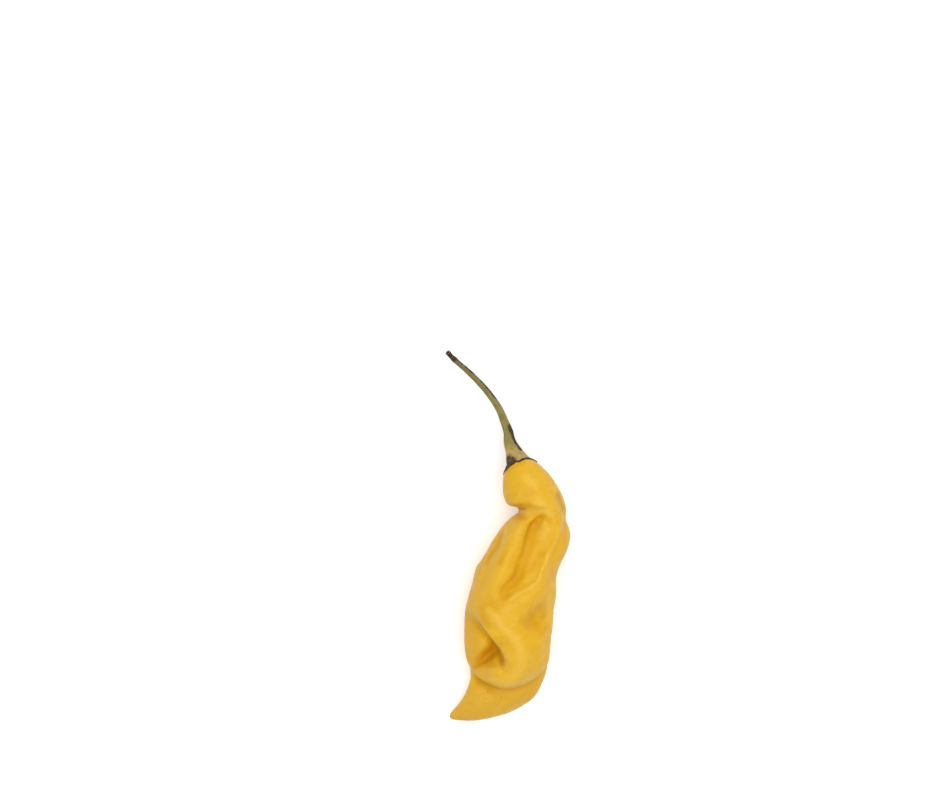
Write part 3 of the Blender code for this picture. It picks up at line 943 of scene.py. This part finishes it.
def store_grain(mesh, along, sides):
    """Keeps the cosine and sine of each vertex's angle round the stem, and how far along it is."""
    angles = np.tile(round_angles(sides), len(along))
    turns = np.column_stack([np.cos(angles), np.sin(angles)])
    turns = np.vstack([turns, np.zeros((2, 2))])
    store(mesh, "grain", np.column_stack([turns, for_each_vertex(along, sides)]))


def make_stalk(settings):
    knots = smooth_curve(STALK_POINTS, STALK_STEPS)
    line, radii = knots[:, :3], knots[:, 3]
    sides, ups = frames_along(line)
    along = np.concatenate([[0], np.cumsum(np.linalg.norm(np.diff(line, axis=0), axis=1))])
    length = along[-1]
    way = unit(line[-1] - line[-4])

    whole = len(line)
    line = np.vstack([line, [line[-1] + way * step for step, _ in STALK_CUT]])
    radii = np.concatenate([radii, [radii[-1] * share for _, share in STALK_CUT]])
    sides = np.vstack([sides, np.repeat(sides[-1:], len(STALK_CUT), 0)])
    ups = np.vstack([ups, np.repeat(ups[-1:], len(STALK_CUT), 0)])
    along = np.concatenate([along, [length + step for step, _ in STALK_CUT]])

    angles = round_angles(STALK_SIDES)
    cosines, sines = np.cos(angles), np.sin(angles)
    near_calyx = eased(-along, *NEAR_CALYX)
    near_tip = eased(along, length - NEAR_TIP[0], length - NEAR_TIP[1])
    broad, fine, uneven = [
        everywhere + at_calyx * near_calyx + at_tip * near_tip
        for everywhere, at_calyx, at_tip in STALK_RIBS
    ]
    rings = []
    for i, centre in enumerate(line):
        turn = TWIST * along[i]
        ribs = broad[i] * np.cos(5 * angles + turn) + fine[i] * np.cos(11 * angles - 2.0 * turn)
        spots = np.column_stack([1.3 * cosines, 1.3 * sines, np.full(STALK_SIDES, along[i] / 2.6)])
        ribs += uneven[i] * noise_at(spots, 1.0, 3.0)
        grown = JOINT_SHARE + (1 - JOINT_SHARE) * eased(along[i], *JOINT_FADE)
        ribs = ribs * grown * (1.0 if i < whole else CUT_SHARE)
        reach = radii[i] * (1 + settings.ridges * ribs)
        rings.append(centre + reach[:, None] * (np.outer(cosines, sides[i]) + np.outer(sines, ups[i])))
    mesh = mesh_of_rings("stalk_skin", rings)
    places = places_of(mesh)
    store_grain(mesh, along, STALK_SIDES)
    dried_tip = eased(for_each_vertex(along, STALK_SIDES), length - DARK_TIP[0], length - DARK_TIP[1])
    store(mesh, "dark", np.maximum(marked(places, STALK_MARKS), 0.9 * dried_tip))
    cork = np.zeros(len(places))
    for row in CORK_ROWS:
        first = (len(rings) - row) * STALK_SIDES
        cork[first : first + STALK_SIDES] = 1
    store(mesh, "cork", cork)
    store(mesh, "khaki", eased(places[:, 1], *KHAKI_BAND))
    store(mesh, "tan", eased(-places[:, 1], *TAN_BAND))
    stalk = new_object("stalk_bark", mesh, stalk_finish(settings))
    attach(stalk, "root")
    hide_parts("stalk")


def hugging(points, surface, gap):
    """The points moved to a given gap outside a surface."""
    moved = []
    for point in points:
        place, normal, _, _ = surface.find_nearest((Vector(point) + Vector(ORIGIN)) * MM)
        moved.append(np.array(place + normal * gap * MM) / MM - ORIGIN)
    return np.array(moved)


def make_calyx(settings, pod):
    surface = BVHTree.FromObject(pod, bpy.context.evaluated_depsgraph_get())
    axis = unit(CALYX_AXIS)
    side = unit(np.cross(axis, (0, 0, 1)))
    up = np.cross(side, axis)
    angles = round_angles(CALYX_SIDES)
    outward = np.outer(np.cos(angles), side) + np.outer(np.sin(angles), up)
    profile = smooth_curve(CALYX_PROFILE, CALYX_STEPS)
    circle = np.column_stack([np.cos(angles), np.sin(angles), np.zeros(CALYX_SIDES)])
    teeth = noise_at(circle * 1.9, 1.0, 11.0) + 0.6 * noise_at(circle * 5.0, 1.0, 2.0)
    top = profile[0, 0]
    broad, broader, fine, uneven = CALYX_RIBS
    rings = []
    along = []
    for t, radius in profile:
        spread = float(eased(np.array(-t), -3.5, 0.0))  # nought at the throat and one at the rim
        ribs = (broad + broader * spread) * np.cos(5 * angles + TWIST * (t + 2))
        ribs += fine * np.cos(10 * angles + 0.6)
        ribs += uneven * noise_at(circle * 2.4 + [0, 0, t / 2.2], 1.0, 5.0)
        ribs = ribs * eased(np.array(-t), *THROAT_FADE)
        reach = radius * (1 + settings.ridges * ribs) + spread**3 * TOOTH_REACH * teeth
        drop = t - spread**2 * TOOTH_DROP * teeth
        ring = CALYX_CENTRE + drop[:, None] * axis + reach[:, None] * outward
        if spread > 0:
            near = hugging(ring, surface, RIM_GAP + 0.55 * RIM_THICKNESS)
            ring = ring + spread**1.5 * (near - ring)
        rings.append(ring)
        along.append(top - t)
    # The rim turns under and runs back up against the pod.
    for share in (0.55, 0.0):
        rings.append(hugging(rings[-1], surface, LINING_GAP + share * RIM_THICKNESS))
        along.append(along[-1] + 0.2)
    for back in LINING_ROWS:
        rings.append(hugging(rings[len(profile) - back], surface, LINING_GAP))
        along.append(along[-1])
    mesh = mesh_of_rings("calyx_skin", rings)
    places = places_of(mesh)
    store_grain(mesh, along, CALYX_SIDES)
    dry_rim = eased(for_each_vertex(along, CALYX_SIDES), top - DRY_RIM[0], top - DRY_RIM[1])
    store(mesh, "dark", np.maximum(marked(places, CALYX_MARKS), dry_rim))
    store(mesh, "tan", eased(-places[:, 1], *TAN_BAND))
    calyx = new_object("calyx_cap", mesh, calyx_finish(settings))
    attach(calyx, "root")
    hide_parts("calyx")


# --- Stage ---


def make_floor(settings):
    mesh = bpy.data.meshes.new("floor")
    s = FLOOR_SIDE / 2
    mesh.from_pydata([(-s, -s, 0), (s, -s, 0), (s, s, 0), (-s, s, 0)], [], [(0, 1, 2, 3)])
    floor = bpy.data.objects.new("floor", mesh)
    bpy.context.collection.objects.link(floor)
    mesh.materials.append(floor_finish(settings))


def make_lights(settings):
    world = bpy.data.worlds.new("studio")
    world.use_nodes = True
    tree = world.node_tree
    lit = tree.nodes["Background"]
    lit.inputs["Color"].default_value = (1, 1, 1, 1)
    lit.inputs["Strength"].default_value = settings.surrounding
    seen = add(tree, "ShaderNodeBackground", {"Color": (1, 1, 1, 1), "Strength": settings.backdrop})
    ray = add(tree, "ShaderNodeLightPath").outputs["Is Camera Ray"]
    both = add(tree, "ShaderNodeMixShader", {0: ray, 1: lit.outputs[0], 2: seen.outputs[0]})
    tree.links.new(both.outputs[0], tree.nodes["World Output"].inputs["Surface"])
    bpy.context.scene.world = world
    light = bpy.data.lights.new("softbox", "AREA")
    light.shape = "SQUARE"
    light.size = settings.light_size
    light.energy = settings.light_power
    lamp = bpy.data.objects.new("softbox", light)
    lamp.location = LIGHT_PLACE
    lamp.rotation_euler = (-lamp.location).to_track_quat("-Z", "Y").to_euler()
    bpy.context.collection.objects.link(lamp)


def make_camera(settings):
    """A camera that looks straight down."""
    camera = bpy.data.objects.new("camera", bpy.data.cameras.new("camera"))
    camera.data.lens = settings.lens
    camera.data.sensor_width = 36
    camera.data.clip_start = 0.01
    camera.location = (np.array(CAMERA_PLACE) + ORIGIN) * MM
    bpy.context.collection.objects.link(camera)
    bpy.context.scene.camera = camera
    bpy.context.scene.view_settings.view_transform = "Standard"


# --- Operators and panel ---


class CHILLI_OT_pod(Operator):
    """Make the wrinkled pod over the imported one"""

    bl_idname = "chilli.make_pod"
    bl_label = "Make Pod"

    def execute(self, context):
        make_pod(context.scene.chilli.pod)
        return {"FINISHED"}


class CHILLI_OT_calyx(Operator):
    """Make the calyx, which sits on the pod's head"""

    bl_idname = "chilli.make_calyx"
    bl_label = "Make Calyx"

    def execute(self, context):
        make_calyx(context.scene.chilli.stalk, bpy.data.objects["pod_body"])
        return {"FINISHED"}


class CHILLI_OT_stalk(Operator):
    """Make the stalk, from the calyx to its cut end"""

    bl_idname = "chilli.make_stalk"
    bl_label = "Make Stalk"

    def execute(self, context):
        make_stalk(context.scene.chilli.stalk)
        return {"FINISHED"}


class CHILLI_OT_stage(Operator):
    """Make the floor, the soft light and the camera"""

    bl_idname = "chilli.make_stage"
    bl_label = "Make Stage"

    def execute(self, context):
        settings = context.scene.chilli.stage
        make_floor(settings)
        make_lights(settings)
        make_camera(settings)
        return {"FINISHED"}


class CHILLI_PT_sidebar(Panel):
    bl_idname = "CHILLI_PT_sidebar"
    bl_label = "Chilli Pepper"
    bl_space_type = "VIEW_3D"
    bl_region_type = "UI"
    bl_category = "Chilli"

    def draw(self, context):
        settings = context.scene.chilli
        for title, operators, group_settings in (
            ("Pod", (CHILLI_OT_pod,), settings.pod),
            ("Calyx and stalk", (CHILLI_OT_calyx, CHILLI_OT_stalk), settings.stalk),
            ("Stage", (CHILLI_OT_stage,), settings.stage),
        ):
            box = self.layout.box()
            box.label(text=title)
            for name in group_settings.__annotations__:
                box.prop(group_settings, name)
            for operator in operators:
                box.operator(operator.bl_idname)


CLASSES = (
    ChilliPodSettings, ChilliStalkSettings, ChilliStageSettings, ChilliSettings, CHILLI_OT_pod,
    CHILLI_OT_calyx, CHILLI_OT_stalk, CHILLI_OT_stage, CHILLI_PT_sidebar,
)


def register():
    for each in CLASSES:
        bpy.utils.register_class(each)
    bpy.types.Scene.chilli = PointerProperty(type=ChilliSettings)


def unregister():
    del bpy.types.Scene.chilli
    for each in reversed(CLASSES):
        bpy.utils.unregister_class(each)


def main():
    register()
    bpy.ops.chilli.make_pod()
    bpy.ops.chilli.make_calyx()
    bpy.ops.chilli.make_stalk()
    bpy.ops.chilli.make_stage()


if __name__ == "__main__":
    main()
